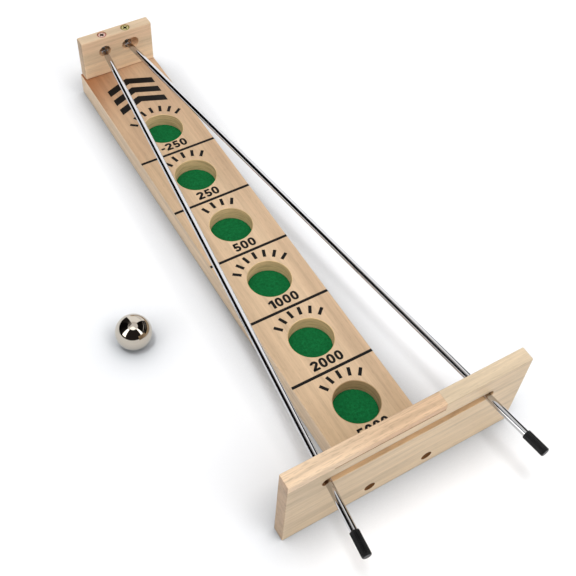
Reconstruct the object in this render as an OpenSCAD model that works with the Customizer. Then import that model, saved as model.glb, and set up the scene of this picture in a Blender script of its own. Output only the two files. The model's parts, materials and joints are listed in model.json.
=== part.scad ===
// Tabletop rolling ball game: a steel ball is coaxed up two spreading rods and dropped into a scoring pocket.
// Millimetres. X is to the player's right, Y runs away from the player, Z is up.
// The origin is the centre of the board's underside, on the table.

/* [Board] */
// Length of the board, from the front plate to its back end
board_len = 417; // [400:1:440]
// Width of the board
board_w = 63.5; // [62:0.5:76]
// Thickness of the board
board_t = 19; // [17:0.5:25]
// Size of the sanded edge on the wooden parts
eased_edge = 0.7; // [0.3:0.1:1.2]

/* [Pockets] */
// Number of scoring pockets
pocket_count = 6; // [3:1:6]
// Bore of each pocket
pocket_d = 31.8; // [28:0.2:34]
// Depth of each pocket, down to bare wood
pocket_depth = 12.5; // [10:0.5:14]
// Distance between two pockets
pocket_pitch = 57.15; // [50:0.05:60]
// Distance from the front plate to the centre of the nearest pocket
pocket_first = 41.2; // [36:0.1:50]
// How far the row of pockets sits to the right of the board's centre line
pocket_x = 0.5; // [-1:0.1:1]
// Thickness of the felt disc in each pocket
felt_t = 2; // [1:0.5:3]

/* [Front plate] */
// Width of the front plate
plate_w = 174; // [160:1:200]
// Height of the front plate
plate_h = 75; // [70:0.5:80]
// Thickness of the front plate
plate_t = 10; // [8:0.5:14]
// How far the plate sits to the right of the board's centre line
plate_x = 1.8; // [0:0.1:2]
// Left end of the slot for the rods
slot_left = -61; // [-66:0.5:-60]
// Right end of the slot for the rods
slot_right = 63; // [62:0.5:68]
// Height of the slot's centre line above the table
slot_z = 55.2; // [52:0.1:56]
// Height of the slot's opening
slot_h = 7.8; // [7:0.1:9]
// Height of the darker strip glued along the top of the plate
stave_h = 6.6; // [4:0.1:8]
// Right end of that strip
stave_right = 24; // [10:1:60]

/* [Back block] */
// Width of the back block
block_w = 62; // [58:0.5:64]
// Depth of the back block
block_d = 9.6; // [9.6:0.1:14]
// Height of the back block
block_h = 37; // [34:0.5:44]
// How far the block sits to the right of the board's centre line
block_x = 0.4; // [-0.5:0.1:0.5]
// Diameter of the blind holes that take the rod ends
eye_hole_d = 10.2; // [10.2:0.1:10.8]
// Depth of those holes
eye_hole_depth = 8.7; // [8.5:0.1:8.9]
// Height of those holes above the table
eye_hole_z = 42.2; // [42:0.1:42.3]
// Centre of the left hole
left_hole_x = -11; // [-11.1:0.1:-10.6]
// Centre of the inner of the two overlapping holes on the right
right_hole_x = 9.3; // [9:0.1:9.9]
// Centre of the outer of those two holes
outer_hole_x = 13.7; // [13:0.1:14.5]

/* [Rods] */
// Diameter of the rods
rod_d = 4.76; // [4:0.02:5]
// Height of a rod's axis above the table at its pivot
rod_back_z = 40.8; // [40:0.1:41.5]
// Level distance from a rod's pivot to the start of its grip
rod_reach = 457; // [440:1:480]
// Pivot of the left rod, across the board
left_pivot_x = -10.6; // [-11:0.1:-10.5]
// Pivot of the right rod, across the board
right_pivot_x = 9.9; // [9.5:0.1:10.5]
// Where the left rod crosses the front plate when it is spread
left_spread_x = -56.4; // [-57:0.1:-20]
// Where the right rod crosses the front plate when it is spread
right_spread_x = 58.6; // [20:0.1:59]
// Outside diameter of the flattened eye
eye_d = 8.2; // [7.6:0.1:8.2]
// Bore of the eye, a loose fit on the pivot screw
eye_bore = 5; // [3.6:0.1:5.2]
// Thickness of the flattened eye
eye_t = 2.4; // [2:0.1:2.6]
// Height of the underside of the eye above the table
eye_z = 40.2; // [40.2:0.1:41]
// Diameter of the grips
grip_d = 6.2; // [6:0.1:7]
// Length of the grips
grip_len = 16; // [14:0.5:30]

/* [Ball] */
// Diameter of the ball
ball_d = 25.4; // [24:0.1:26]
// Where the ball lies, to the left of the board
ball_x = -101.7; // [-130:0.1:-100]
// Where the ball lies, measured back from the front plate
ball_from_plate = 164.2; // [20:0.1:400]

/* [Screws] */
// Shank of the four wood screws that hold the plate and the block
wood_screw_d = 3.8; // [3:0.1:4.2]
// Head of those wood screws
wood_head_d = 7; // [6:0.1:7.2]
// Length of those wood screws under the head
wood_screw_len = 31; // [25:1:34]
// Height of the plate's screws above the table
plate_screw_z = 10.8; // [9:0.1:12]
// Place of the left plate screw
plate_screw_left = -22.3; // [-25:0.1:-20]
// Place of the right plate screw
plate_screw_right = 21.3; // [20:0.1:25]
// Spacing of the two screws that come up into the back block
block_screw_gap = 46; // [42:1:50]
// Shank of the pivot screws
pivot_d = 3.2; // [3:0.1:3.4]
// Flat head of the pivot screws
pivot_head_d = 7.6; // [7:0.1:8]
// Length of the pivot screws with their heads
pivot_len = 29.5; // [26:0.5:34]

/* [Hidden] */

$fn = 96;
over = 1;
front_y = -board_len / 2;
back_y = board_len / 2;
pocket_floor = board_t - pocket_depth;
rim_ease = 0.4;
felt_gap = 0.2;

counterbore_d = wood_head_d + 0.4;
plate_counterbore = 6;
board_counterbore = 4;
head_t = 2.2;
screw_gap = 0.1;
clearance_d = wood_screw_d + 0.4;
plate_screws_x = [plate_screw_left, plate_screw_right];
block_screws_x = [block_x - block_screw_gap / 2, block_x + block_screw_gap / 2];

block_y = back_y - block_d / 2;
block_top = board_t + block_h;
pivot_y = back_y - 5.2;
pivot_sink = 0.5;
pivot_rim = 0.4;
pivot_cone = (pivot_head_d - pivot_d) / 2;

sill_z = slot_z - slot_h / 2;
sill_gap = 0.45;
plate_mid_y = front_y - plate_t / 2;
rod_front_z = sill_z + rod_d / 2 + sill_gap;
rod_run = pivot_y - plate_mid_y;
rod_rise = atan((rod_front_z - rod_back_z) / rod_run);
neck_len = 6;
grip_wall = 2;
grip_bore_gap = 0.05;

// A box centred on X and Y and standing on z = 0, with sanded edges
module eased_box(size, e) {
    w = size[0];
    l = size[1];
    h = size[2];
    translate([0, 0, h / 2])
        intersection() {
            linear_extrude(h, center = true) eased_outline(w, l, e);
            rotate([90, 0, 0]) linear_extrude(l, center = true) eased_outline(w, h, e);
            rotate([90, 0, 90]) linear_extrude(w, center = true) eased_outline(l, h, e);
        }
}

// A rectangle with small flats on its corners
module eased_outline(a, b, e) {
    x = a / 2;
    y = b / 2;
    polygon([[x, y - e], [x - e, y], [e - x, y], [-x, y - e],
        [-x, e - y], [e - x, -y], [x - e, -y], [x, e - y]]);
}

// A cylinder along Y that starts at the origin and runs towards the back
module bore_back(d, len) {
    rotate([-90, 0, 0]) cylinder(h = len, d = d);
}

// Centre of pocket i, counted from the block end
function pocket_y(i) = front_y + pocket_first + (pocket_count - 1 - i) * pocket_pitch;

// One pocket: a flat-bottomed bore with an eased rim
module pocket() {
    r = pocket_d / 2;
    translate([0, 0, pocket_floor]) cylinder(h = pocket_depth + over, r = r);
    translate([0, 0, board_t - rim_ease]) cylinder(h = rim_ease + over, r1 = r, r2 = r + rim_ease + over);
}

module board() {
    screw_depth = wood_screw_len - plate_t + plate_counterbore;
    color("burlywood")
        difference() {
            eased_box([board_w, board_len, board_t], eased_edge);
            for (i = [0 : pocket_count - 1])
                translate([pocket_x, pocket_y(i), 0]) pocket();
            for (x = plate_screws_x)
                translate([x, front_y - over, plate_screw_z])
                    bore_back(wood_screw_d + screw_gap, screw_depth + 2 * over);
            for (x = block_screws_x)
                translate([x, block_y, 0]) {
                    translate([0, 0, -over]) cylinder(h = board_counterbore + over, d = counterbore_d);
                    translate([0, 0, -over]) cylinder(h = board_t + 2 * over, d = clearance_d);
                }
        }
}

// The glued strip along the plate's top, as a plain bar from the left end to its seam
module stave_bar(grow) {
    left = plate_x - plate_w / 2 - grow;
    translate([left, front_y - plate_t - grow, plate_h - stave_h])
        cube([stave_right - left, plate_t + 2 * grow, stave_h + grow]);
}

module plate_blank() {
    translate([plate_x, plate_mid_y, 0]) eased_box([plate_w, plate_t, plate_h], eased_edge);
}

// The long round-ended slot that the rods slide in
module rod_slot() {
    r = slot_h / 2;
    through = plate_t + 2 * over;
    y = front_y - plate_t - over;
    translate([slot_left + r, y, sill_z]) cube([slot_right - slot_left - slot_h, through, slot_h]);
    for (x = [slot_left + r, slot_right - r])
        translate([x, y, slot_z]) bore_back(slot_h, through);
}

module front_plate() {
    color("wheat")
        difference() {
            plate_blank();
            stave_bar(over);
            rod_slot();
            for (x = plate_screws_x)
                translate([x, front_y - plate_t, plate_screw_z]) {
                    translate([0, -over, 0]) bore_back(counterbore_d, plate_counterbore + over);
                    bore_back(clearance_d, plate_t + over);
                }
        }
}

module plate_top_stave() {
    color("tan")
        intersection() {
            plate_blank();
            stave_bar(0);
        }
}

// The countersunk hole of a pivot screw, down from the block's top at z = 0
module pivot_hole() {
    deep = pivot_sink + pivot_rim;
    translate([0, 0, -pivot_len - over]) cylinder(h = pivot_len + 2 * over, d = pivot_d + screw_gap);
    translate([0, 0, -deep]) cylinder(h = deep + over, d = pivot_head_d + screw_gap);
    translate([0, 0, -deep - pivot_cone])
        cylinder(h = pivot_cone, d1 = pivot_d + screw_gap, d2 = pivot_head_d + screw_gap);
}

module back_block() {
    y = block_y - block_d / 2 - over;
    screw_depth = wood_screw_len - board_t + board_counterbore;
    color("tan")
        difference() {
            translate([block_x, block_y, board_t]) eased_box([block_w, block_d, block_h], 2 * eased_edge);
            for (x = [left_hole_x, right_hole_x, outer_hole_x])
                translate([x, y, eye_hole_z]) bore_back(eye_hole_d, eye_hole_depth + over);
            for (x = [left_pivot_x, right_pivot_x])
                translate([x, pivot_y, block_top]) pivot_hole();
            for (x = block_screws_x)
                translate([x, block_y, board_t - over])
                    cylinder(h = screw_depth + 2 * over, d = wood_screw_d + screw_gap);
        }
}

// A disc of felt on the floor of pocket i
module felt_disc(i) {
    color("seagreen")
        translate([pocket_x, pocket_y(i), pocket_floor]) cylinder(h = felt_t, d = pocket_d - 2 * felt_gap);
}

// The cross recess of a screw, cut down from z = 0
module cross_recess(head_d, depth) {
    long = 0.55 * head_d;
    for (a = [0, 90])
        rotate([0, 0, a]) translate([-long / 2, -0.5, -depth]) cube([long, 1, depth + over]);
}

// The pointed shank of a screw, down from z = 0
module shank(d, len) {
    point = 1.5 * d;
    translate([0, 0, point - len]) cylinder(h = len - point, d = d);
    translate([0, 0, -len]) cylinder(h = point, d1 = 0.3, d2 = d);
}

// A screw that points down from z = 0, with its domed head above
module domed_screw(d, len, head_d, head_h) {
    difference() {
        union() {
            cylinder(h = 0.45 * head_h, d = head_d);
            translate([0, 0, 0.45 * head_h]) cylinder(h = 0.55 * head_h, d1 = head_d, d2 = 0.62 * head_d);
        }
        translate([0, 0, head_h]) cross_recess(head_d, 0.65 * head_h);
    }
    shank(d, len);
}

// A countersunk screw that points down, with the flat of its head at z = 0
module flat_screw(d, len, head_d, rim) {
    cone = (head_d - d) / 2;
    difference() {
        union() {
            translate([0, 0, -rim]) cylinder(h = rim, d = head_d);
            translate([0, 0, -rim - cone]) cylinder(h = cone, d1 = d, d2 = head_d);
        }
        cross_recess(head_d, 1.4);
    }
    translate([0, 0, -rim - cone]) shank(d, len - rim - cone);
}

module plate_screws() {
    color("goldenrod")
        for (x = plate_screws_x)
            translate([x, front_y - plate_t + plate_counterbore, plate_screw_z])
                rotate([90, 0, 0]) domed_screw(wood_screw_d, wood_screw_len, wood_head_d, head_t);
}

module block_screws() {
    color("goldenrod")
        for (x = block_screws_x)
            translate([x, block_y, board_counterbore])
                rotate([180, 0, 0]) domed_screw(wood_screw_d, wood_screw_len, wood_head_d, head_t);
}

module pivot_screw(x) {
    color("darkgoldenrod")
        translate([x, pivot_y, block_top - pivot_sink])
            rotate([0, 0, 30]) flat_screw(pivot_d, pivot_len, pivot_head_d, pivot_rim);
}

// Turns a child that points along -Y into a spread rod's direction, about its pivot
module at_pivot(pivot_x, spread_x) {
    translate([pivot_x, pivot_y, 0]) rotate([0, 0, atan((spread_x - pivot_x) / rod_run)]) children();
}

// Lays a child that points along +Z on a rod's rising axis
module on_rod_axis(from) {
    translate([0, 0, rod_back_z]) rotate([90 - rod_rise, 0, 0]) translate([0, 0, from]) children();
}

// A straight rod whose back end is flattened into an eye
module rod(pivot_x, spread_x) {
    reach = rod_reach / cos(rod_rise);
    cone = eye_bore / 2 + 1;
    color("silver")
        at_pivot(pivot_x, spread_x)
            difference() {
                union() {
                    translate([0, 0, eye_z]) cylinder(h = eye_t, d = eye_d);
                    translate([-rod_d / 2, -neck_len, eye_z]) cube([rod_d, neck_len, eye_t]);
                    on_rod_axis(cone) cylinder(h = neck_len - cone, r1 = eye_t / 2, r2 = rod_d / 2);
                    on_rod_axis(neck_len) cylinder(h = reach - neck_len + grip_len - grip_wall, d = rod_d);
                }
                cylinder(h = block_top, d = eye_bore);
            }
}

// A moulded sleeve, closed and rounded at its outer end
module grip(pivot_x, spread_x) {
    round_r = 0.9;
    color([0.1, 0.1, 0.1])
        at_pivot(pivot_x, spread_x)
            on_rod_axis(rod_reach / cos(rod_rise))
                difference() {
                    union() {
                        cylinder(h = grip_len - round_r, d = grip_d);
                        translate([0, 0, grip_len - round_r])
                            cylinder(h = round_r, d1 = grip_d, d2 = grip_d - 2 * round_r);
                    }
                    translate([0, 0, -over])
                        cylinder(h = grip_len - grip_wall + over, d = rod_d + 2 * grip_bore_gap);
                }
}

module steel_ball() {
    color("lightgray")
        translate([ball_x, front_y + ball_from_plate, ball_d / 2]) sphere(d = ball_d);
}

board();
front_plate();
plate_top_stave();
back_block();
felt_disc(0);  // felt_disc_1
felt_disc(1);  // felt_disc_2
felt_disc(2);  // felt_disc_3
felt_disc(3);  // felt_disc_4
felt_disc(4);  // felt_disc_5
felt_disc(5);  // felt_disc_6
plate_screws();
block_screws();
pivot_screw(left_pivot_x);  // left_pivot_screw
pivot_screw(right_pivot_x);  // right_pivot_screw
rod(left_pivot_x, left_spread_x);  // left_rod
rod(right_pivot_x, right_spread_x);  // right_rod
grip(left_pivot_x, left_spread_x);  // left_grip
grip(right_pivot_x, right_spread_x);  // right_grip
steel_ball();
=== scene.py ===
"""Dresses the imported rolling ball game: wood, print, felt, plated steel, screws, light and camera.

Everything is in metres, in the frame of the CAD: X to the player's right, Y away from the player, Z up.
"""

import json
import math

import bmesh
import bpy
from bpy.props import FloatProperty, FloatVectorProperty, IntProperty, PointerProperty
from mathutils import Matrix, Vector, noise


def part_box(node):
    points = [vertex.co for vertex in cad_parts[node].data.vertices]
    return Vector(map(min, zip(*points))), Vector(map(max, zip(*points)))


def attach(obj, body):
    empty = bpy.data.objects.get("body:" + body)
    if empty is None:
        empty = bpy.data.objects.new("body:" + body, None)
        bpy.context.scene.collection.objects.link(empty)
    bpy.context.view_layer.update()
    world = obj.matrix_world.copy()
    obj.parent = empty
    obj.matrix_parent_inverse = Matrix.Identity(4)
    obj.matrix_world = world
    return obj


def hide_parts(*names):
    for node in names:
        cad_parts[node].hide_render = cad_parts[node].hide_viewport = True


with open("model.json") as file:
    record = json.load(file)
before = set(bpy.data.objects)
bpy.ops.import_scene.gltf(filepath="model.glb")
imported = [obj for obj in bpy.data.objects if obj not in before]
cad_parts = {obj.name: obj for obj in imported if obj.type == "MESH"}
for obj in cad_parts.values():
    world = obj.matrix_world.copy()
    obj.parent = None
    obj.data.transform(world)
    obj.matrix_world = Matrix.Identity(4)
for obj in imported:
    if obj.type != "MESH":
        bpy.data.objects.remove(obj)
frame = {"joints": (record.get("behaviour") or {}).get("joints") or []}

bl_info = {
    "name": "Rolling Ball Game",
    "version": (1, 0, 0),
    "blender": (4, 5, 0),
    "location": "3D View > Sidebar > Ball Game",
    "description": "Builds the looks of a tabletop rolling ball game around its CAD frame",
    "category": "Object",
}

MM = 0.001
UP, DOWN, AWAY = (0, 0, 1), (0, 0, -1), (0, 1, 0)
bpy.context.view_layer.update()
PIVOT = {j["child"]: Vector(j["pos_m"]) for j in frame["joints"] if j["type"] == "hinge"}
POCKETS = [(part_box("felt_disc_%d" % i)[0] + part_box("felt_disc_%d" % i)[1]) / 2 for i in range(1, 7)]

# Places of screws, holes and rods, in millimetres
PLATE_SCREW_X, PLATE_SCREW_Z = (-22.3, 21.3), 10.8
BLOCK_SCREW_X, BLOCK_SCREW_Y = (-22.6, 23.4), 203.7
EYE_HOLE_X, EYE_HOLE_Z = (-11, 9.3, 13.7), 42.2
# Where the spread rods cross the front plate's middle, and the level distance from their pivots to the grips
CROSSING_X, CROSSING_Z = {"left": -56.4, "right": 58.6}, 54.13
ROD_REACH = 457


def linear(colour):
    """The linear values of an sRGB hex colour such as "#D9BC96"."""
    parts = [int(colour[i : i + 2], 16) / 255 for i in (1, 3, 5)]
    return tuple(c / 12.92 if c <= 0.04045 else ((c + 0.055) / 1.055) ** 2.4 for c in parts)


# Settings a user would change


def colour_of(name, description, value):
    """A colour setting. value is its hex default."""
    return FloatVectorProperty(
        name=name, description=description, subtype="COLOR", size=3, default=linear(value),
    )


def length_of(name, description, default, low, high):
    """A length setting, with its default and its limits in millimetres."""
    return FloatProperty(
        name=name, description=description, default=default * MM, min=low * MM, max=high * MM,
        unit="LENGTH", precision=5,
    )


def strength_of(name, description, default, high=3):
    """The strength of a light."""
    return FloatProperty(name=name, description=description, default=default, min=0, max=high)


class BallGameWood(bpy.types.PropertyGroup):
    edge: length_of("Sanded edge", "Radius of the sanded edges of the board and the plate", 0.7, 0.2, 1.2)
    block_edge: length_of("Block edge", "Radius of the sanded edges of the back block", 1.4, 0.4, 2.0)
    board: colour_of("Board", "Pale wood of the board", "#D9BC9B")
    plate: colour_of("Front plate", "Wood of the front plate", "#DAC1A0")
    stave: colour_of("Top strip", "Flecked wood of the strip along the plate's top", "#EACDAD")
    block: colour_of("Back block", "Wood of the back block", "#DCC1A0")


class BallGamePrint(bpy.types.PropertyGroup):
    ink: colour_of("Ink", "Black of the screen print", "#0C0A09")
    line: length_of("Line width", "Width of the lines between the fields", 2.2, 0.5, 3)
    height: length_of("Number height", "Height of the printed numbers", 7.5, 4, 8)


class BallGameMetal(bpy.types.PropertyGroup):
    rod_d: length_of("Rod diameter", "Diameter of the two rods", 4.76, 4, 4.76)
    rod: colour_of("Rods", "Chrome plating of the rods", "#C8C8CA")
    ball: colour_of("Ball", "Polished steel of the ball", "#BCB4A8")
    left_screw: colour_of("Left pivot screw", "Coppery plating of the left pivot screw", "#B3726A")
    right_screw: colour_of("Right pivot screw", "Yellow plating of the right pivot screw", "#847D3B")


class BallGameSoft(bpy.types.PropertyGroup):
    felt: colour_of("Felt", "Green of the felt discs", "#146938")
    grip: colour_of("Grips", "Black of the moulded grips", "#0A0A0B")
    ribs: IntProperty(name="Ribs", description="Lengthwise ribs round each grip", default=18, min=12, max=40)


class BallGameStage(bpy.types.PropertyGroup):
    floor: colour_of("Floor", "White paper under the game", "#F6F7F9")
    sky: strength_of("Soft light", "Strength of the even light from all round", 0.45, 1)
    overhead: strength_of("Overhead light", "Strength of the main light above the game", 1.05)
    left: strength_of("Left light", "Strength of the tall light at the left", 0.45)
    front: strength_of("Front light", "Strength of the tall light at the front", 1.3)


# Shapes


def millimetres(rows):
    """Pairs of millimetres in metres."""
    return [(a * MM, b * MM) for a, b in rows]


def squarish(angle, power):
    """A point of the unit circle, drawn out towards a square by a power under 1."""
    c, s = math.cos(angle), math.sin(angle)
    return math.copysign(abs(c) ** power, c), math.copysign(abs(s) ** power, s)


def put_in_scene(name, mesh):
    piece = bpy.data.objects.new(name, mesh)
    bpy.context.scene.collection.objects.link(piece)
    return piece


def made_of(piece, material):
    """Gives a piece its material."""
    piece.data.materials.append(material)
    return piece


def from_bmesh(name, bm, raw=True):
    """A piece of the mesh, with its doubled points merged and its normals turned outwards if it is raw."""
    if raw:
        bmesh.ops.remove_doubles(bm, verts=bm.verts[:], dist=1e-7)
        bmesh.ops.recalc_face_normals(bm, faces=bm.faces[:])
    mesh = bpy.data.meshes.new(name)
    bm.to_mesh(mesh)
    bm.free()
    return put_in_scene(name, mesh)


def thin(name, points, faces, material):
    """A skin with no thickness, for a film or a card. faces holds the numbers of each face's points."""
    mesh = bpy.data.meshes.new(name)
    mesh.from_pydata(points, [], faces)
    return made_of(put_in_scene(name, mesh), material)


def lofted(name, loops, closed=False):
    """A skin over a row of equal loops of points, capped at both ends unless the row is closed."""
    bm = bmesh.new()
    rows = [[bm.verts.new(p) for p in loop] for loop in loops]
    count = len(rows[0])
    pairs = list(zip(rows, rows[1:])) + ([(rows[-1], rows[0])] if closed else [])
    for a, b in pairs:
        for i in range(count):
            j = (i + 1) % count
            bm.faces.new((a[i], a[j], b[j], b[i]))
    if not closed:
        bm.faces.new(rows[0][::-1])
        bm.faces.new(rows[-1])
    return from_bmesh(name, bm)


def turned(name, start, axis, profile, count=64, closed=False, radius=None):
    """A piece turned about an axis. profile holds (distance along the axis, radius) from end to end.
    radius(distance, angle, r) may change the radius round the piece, for ribs and threads."""
    w = Vector(axis).normalized()
    u = w.orthogonal().normalized()
    v = w.cross(u)
    loops = []
    for h, r in profile:
        loop = []
        for k in range(count):
            a = 2 * math.pi * k / count
            rr = radius(h, a, r) if radius else r
            loop.append(Vector(start) + w * h + (u * math.cos(a) + v * math.sin(a)) * rr)
        loops.append(loop)
    return lofted(name, loops, closed)


def sanded_block(name, low, high, edge, steps=3):
    """A board with its edges sanded round."""
    bm = bmesh.new()
    bmesh.ops.create_cube(bm, size=1)
    for v in bm.verts:
        v.co = Vector([high[i] if v.co[i] > 0 else low[i] for i in range(3)])
    bmesh.ops.bevel(bm, geom=bm.edges[:], offset=edge, segments=steps, profile=0.5, affect="EDGES")
    return from_bmesh(name, bm)


def flared(depth, r, flare, steps=4, over=1 * MM):
    """Profile of a drill that leaves a rounded mouth: (distance below the face, radius)."""
    rows = [(depth, 0), (depth, r)]
    for k in range(steps + 1):
        a = math.pi / 2 * k / steps
        rows.append((flare - flare * math.sin(a), r + flare - flare * math.cos(a)))
    return rows + [(-over, r + flare), (-over, 0)]


def clear(*pieces):
    """Removes pieces that have done their work, with their meshes."""
    for p in pieces:
        mesh = p.data
        bpy.data.objects.remove(p)
        bpy.data.meshes.remove(mesh)


def bake(piece):
    """Turns the modifiers on a piece into its mesh."""
    graph = bpy.context.evaluated_depsgraph_get()
    mesh = bpy.data.meshes.new_from_object(piece.evaluated_get(graph))
    piece.modifiers.clear()
    old = piece.data
    piece.data = mesh
    bpy.data.meshes.remove(old)


def carve(piece, cutters, operation="DIFFERENCE"):
    """Cuts the cutters out of the piece. A cut face takes the cutter's material."""
    for c in cutters:
        m = piece.modifiers.new("cut", "BOOLEAN")
        m.operation = operation
        m.solver = "EXACT"
        m.material_mode = "TRANSFER"
        m.object = c
    bake(piece)
    clear(*cutters)
    if not piece.data.polygons:
        raise RuntimeError("nothing is left of %s after its cuts" % piece.name)


def smooth(piece, angle=35, weighted=True):
    """Smooth shading that keeps corners sharper than the angle, and flat faces flat if weighted."""
    piece.data.shade_smooth()
    piece.data.set_sharp_from_angle(angle=math.radians(angle))
    if weighted:
        m = piece.modifiers.new("normals", "WEIGHTED_NORMAL")
        m.keep_sharp = True
        m.weight = 100
        bake(piece)
    return piece


def joined(name, parts):
    """One piece out of several that overlap or touch. Each keeps its material."""
    bm = bmesh.new()
    materials = []
    for p in parts:
        first = len(bm.faces)
        bm.from_mesh(p.data)
        bm.faces.ensure_lookup_table()
        for f in bm.faces[first:]:
            f.material_index += len(materials)
        materials += list(p.data.materials)
        clear(p)
    piece = from_bmesh(name, bm, raw=False)
    for m in materials:
        made_of(piece, m)
    return piece


def dress(piece, body, slot, *nodes):
    """Puts a finished piece on its body, in place of the CAD nodes that it stands for."""
    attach(piece, body)
    if nodes:
        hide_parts(*nodes)
    return piece


# Finishes


def add(tree, kind, inputs=None, ramp=None, **settings):
    """Adds one node with its settings. inputs maps a socket to a value or to another node's output."""
    n = tree.nodes.new(kind)
    for key, value in settings.items():
        setattr(n, key, value)
    if ramp:
        while len(n.color_ramp.elements) < len(ramp):
            n.color_ramp.elements.new(0.5)
        for e, (place, colour) in zip(n.color_ramp.elements, ramp):
            e.position = place
            e.color = (*colour, 1)
    for key, value in (inputs or {}).items():
        if isinstance(value, bpy.types.NodeSocket):
            tree.links.new(value, n.inputs[key])
        else:
            n.inputs[key].default_value = value
    return n


def finish(name, fixed):
    """A new material with only its shader, some of whose inputs are fixed values."""
    m = bpy.data.materials.new(name)
    m.use_nodes = True
    bsdf = m.node_tree.nodes["Principled BSDF"]
    for key, value in fixed.items():
        bsdf.inputs[key].default_value = value
    return m, m.node_tree, bsdf


def wired(t, bsdf, patterns, relief=None):
    """Leads patterns to the shader's inputs. relief is (strength, height in millimetres, pattern)."""
    if relief:
        strength, height, pattern = relief
        inputs = {"Strength": strength, "Distance": height * MM, "Height": pattern}
        patterns["Normal"] = add(t, "ShaderNodeBump", inputs).outputs[0]
    for key, value in patterns.items():
        t.links.new(value, bsdf.inputs[key])


def on_piece(t):
    """The place on the piece, in metres."""
    return add(t, "ShaderNodeTexCoord").outputs["Object"]


def stretched(t, place, scale):
    return add(t, "ShaderNodeMapping", {"Vector": place, "Scale": scale}).outputs[0]


def speckle(t, place, detail, roughness=0.5, scale=1, distortion=0):
    """A noise pattern from 0 to 1."""
    return add(
        t, "ShaderNodeTexNoise",
        {"Vector": place, "Scale": scale, "Detail": detail, "Roughness": roughness, "Distortion": distortion},
    ).outputs["Fac"]


def ranged(t, value, low, high, to_low=0, to_high=1, **settings):
    """The value, brought from one range to another."""
    span = {"Value": value, "From Min": low, "From Max": high, "To Min": to_low, "To Max": to_high}
    return add(t, "ShaderNodeMapRange", span, **settings).outputs[0]


def graded(t, value, *stops):
    """The colour for a value, from stops of (value, colour)."""
    return add(t, "ShaderNodeValToRGB", {"Fac": value}, ramp=stops).outputs["Color"]


def maths(t, operation, a, b, **settings):
    return add(t, "ShaderNodeMath", {0: a, 1: b}, operation=operation, **settings).outputs[0]


def scaled(t, tone, factor):
    return add(t, "ShaderNodeVectorMath", {0: tone, "Scale": factor}, operation="SCALE").outputs[0]


def tinted(t, tone, amount, tint):
    """The tone, multiplied by the tint as far as the amount goes."""
    darker = add(t, "ShaderNodeVectorMath", {0: tone, 1: tint}, operation="MULTIPLY")
    mix = add(t, "ShaderNodeMix", {0: amount}, data_type="VECTOR")
    t.links.new(tone, mix.inputs["A"])
    t.links.new(darker.outputs[0], mix.inputs["B"])
    return mix.outputs["Result"]


def shade(colour, factor):
    return tuple(min(1, c * factor) for c in colour)


def grey(level):
    return (level,) * 3


def facing(t, axis):
    """1 on faces square to an axis of the piece, 0 on the others, with a soft change over sanded edges."""
    split = add(t, "ShaderNodeSeparateXYZ", {0: add(t, "ShaderNodeTexCoord").outputs["Normal"]})
    size = add(t, "ShaderNodeMath", {0: split.outputs[axis]}, operation="ABSOLUTE")
    return ranged(t, size.outputs[0], 0.55, 0.85)


def wood(name, colour, grain, band=9, contrast=0.16, fleck=0.1, pores=0.42, streak=0.06, faces=(), shifts=()):
    """Planed and sanded wood under thin varnish. grain is the axis of the fibres, band the width of a growth
    ring in millimetres, contrast, fleck and streak how far rings, pores and fine streaks darken it, and pores
    how close the pores lie. faces tint the faces square to an axis: (axis, tint), for end grain and for
    painted light and shade. shifts are slow changes of tone, painted shade and light among them: (axis or
    direction, from, to, tint, face), face naming the faces that show them."""
    m, t, bsdf = finish(name, {"Specular IOR Level": 0.35})
    place = on_piece(t)

    def drawn(across, along, detail, roughness=0.5, distortion=0):
        # A pattern with these lengths across and along the fibres, in millimetres
        scale = [1 / (across * MM)] * 3
        scale[grain] = 1 / (along * MM)
        return speckle(t, stretched(t, place, scale), detail, roughness, distortion=distortion)

    rings = drawn(band, band * 17, 3, 0.55, 0.5)
    # Fibres are 0.1 mm wide on the real wood; they are drawn 0.9 mm wide so that they show
    fibres = drawn(0.9, 30, 2, 0.6)
    # Pores, short dark dashes along the fibres, are drawn 0.7 mm wide for the same reason
    pits = drawn(0.7, 6, 1)
    # Streaks of early and late wood, 2 to 3 mm apart, run the whole length
    bands = drawn(2.2, 110, 1)
    tone = graded(
        t, rings, (0.36, shade(colour, 1 - contrast)), (0.5, shade(colour, 1 - contrast * 0.25)),
        (0.66, shade(colour, 1.04)),
    )
    side = {axis: facing(t, axis) for axis in "XYZ"}
    for axis, start, stop, tint, face in shifts:
        way = {"X": (1, 0, 0), "Y": (0, 1, 0), "Z": (0, 0, 1)}.get(axis, axis)
        far = add(t, "ShaderNodeVectorMath", {0: place, 1: way}, operation="DOT_PRODUCT").outputs["Value"]
        amount = ranged(t, far, start * MM, stop * MM, interpolation_type="SMOOTHSTEP")
        if face:
            amount = maths(t, "MULTIPLY", amount, side[face])
        tone = tinted(t, tone, amount, tint)
    for axis, tint in faces:
        tone = tinted(t, tone, side[axis], tint)
    lines = ranged(t, fibres, 0.3, 0.7, 1 - 0.45 * contrast, 1.03)
    dashes = ranged(t, pits, pores - 0.12, pores, 1 - fleck)
    streaks = ranged(t, bands, 0.36, 0.6, 1 - streak, 1 + 0.4 * streak)
    both = maths(t, "MULTIPLY", maths(t, "MULTIPLY", lines, dashes), streaks)
    sheen = ranged(t, fibres, 0.3, 0.7, 0.52, 0.42)
    wired(t, bsdf, {"Base Color": scaled(t, tone, both), "Roughness": sheen}, (0.35, 0.05, both))
    return m


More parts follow.
